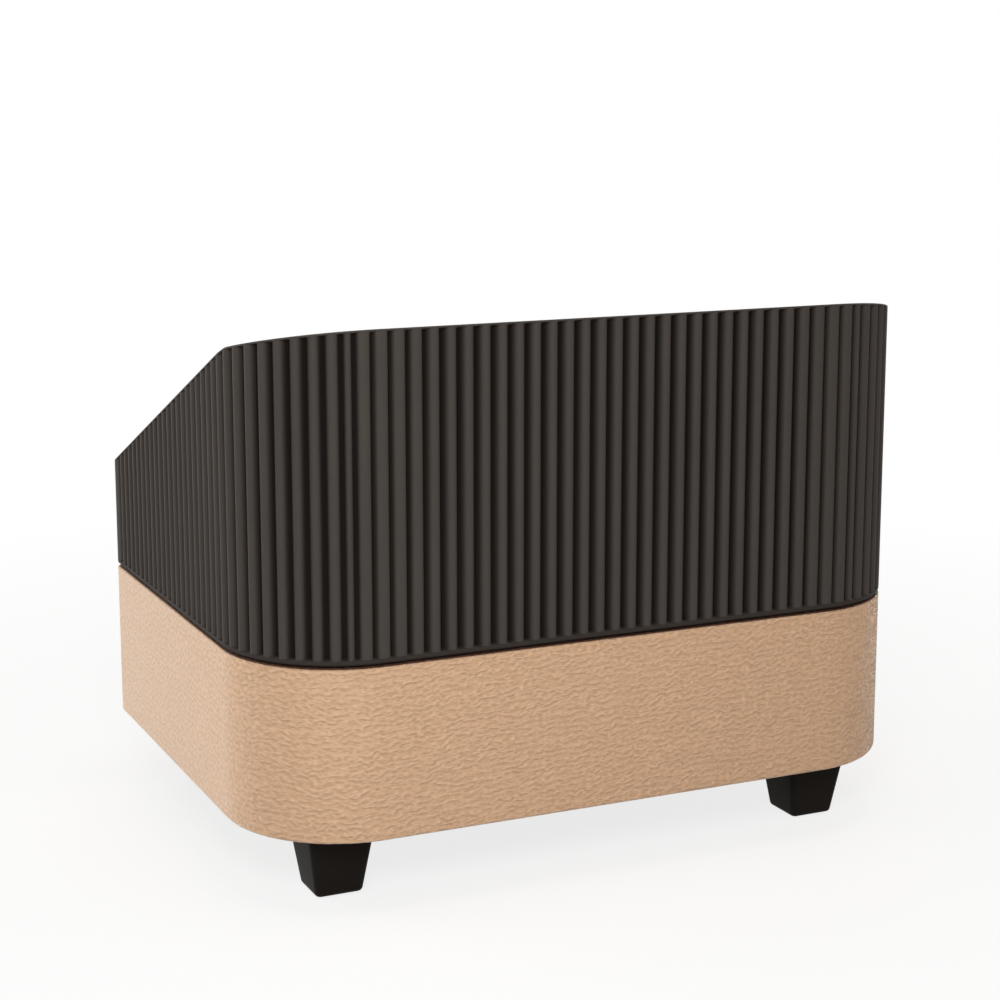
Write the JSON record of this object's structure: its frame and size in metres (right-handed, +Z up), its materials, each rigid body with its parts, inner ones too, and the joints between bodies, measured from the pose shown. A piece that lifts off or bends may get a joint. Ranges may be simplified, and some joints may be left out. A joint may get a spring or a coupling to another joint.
{
  "type": "make-up brush holder with drawer",
  "caption": "Desktop make-up brush holder: ribbed open shell with brush bays and trays on a leather-covered base with a front drawer, on tapered feet.",
  "frame": {"origin": "on the ground plane under the middle of the bounding box, knob included", "axes": "+X along the width (right as seen from the front), +Y towards the tall back, +Z up; the drawer opens towards -Y"},
  "size_m": [0.225, 0.176, 0.1724],
  "materials": {
    "shell_plastic": "moulded ABS, matte charcoal",
    "inner_plastic": "moulded ABS, fine matte black",
    "wall_board": "bent plywood, covered",
    "panel_board": "medium-density fibreboard, plain",
    "drawer_panel": "fibreboard laminated with black paper",
    "tan_leather": "pebble-grained tan leather",
    "lining_cloth": "black non-woven lining",
    "drawer_felt": "short-pile charcoal felt",
    "foot_plastic": "moulded ABS, satin black",
    "pad_rubber": "soft rubber",
    "runner_nylon": "natural nylon",
    "knob_metal": "turned, satin black lacquer",
    "screw_steel": "zinc-plated steel"
  },
  "bodies": {
    "housing": {"base_deck": "panel_board", "base_floor": "panel_board", "base_wall": "wall_board", "bottom_lining": "lining_cloth", "brush_divider_left": "inner_plastic", "brush_divider_right": "inner_plastic", "drawer_runner_left": "runner_nylon", "drawer_runner_right": "runner_nylon", "drawer_stop_left": "runner_nylon", "drawer_stop_right": "runner_nylon", "foot_back_left": "foot_plastic", "foot_back_right": "foot_plastic", "foot_front_left": "foot_plastic", "foot_front_right": "foot_plastic", "foot_pad_back_left": "pad_rubber", "foot_pad_back_right": "pad_rubber", "foot_pad_front_left": "pad_rubber", "foot_pad_front_right": "pad_rubber", "foot_screws": "screw_steel", "front_divider": "inner_plastic", "front_partition": "inner_plastic", "leather_wrap": "tan_leather", "middle_divider": "inner_plastic", "rear_partition": "inner_plastic", "ribbed_shell": "shell_plastic", "shell_screws": "screw_steel", "tray_floor": "inner_plastic"},
    "drawer": {"drawer_back": "drawer_panel", "drawer_felt": "drawer_felt", "drawer_floor": "drawer_panel", "drawer_front": "panel_board", "drawer_front_leather": "tan_leather", "drawer_front_screws": "screw_steel", "drawer_inner_front": "drawer_panel", "drawer_knob": "knob_metal", "drawer_side_left": "drawer_panel", "drawer_side_right": "drawer_panel", "knob_screw": "screw_steel"}
  },
  "joints": [
    {"name": "drawer_slide", "type": "slide", "parent": "housing", "child": "drawer", "axis": [0, -1, 0], "range_m": [0, 0.082]}
  ]
}
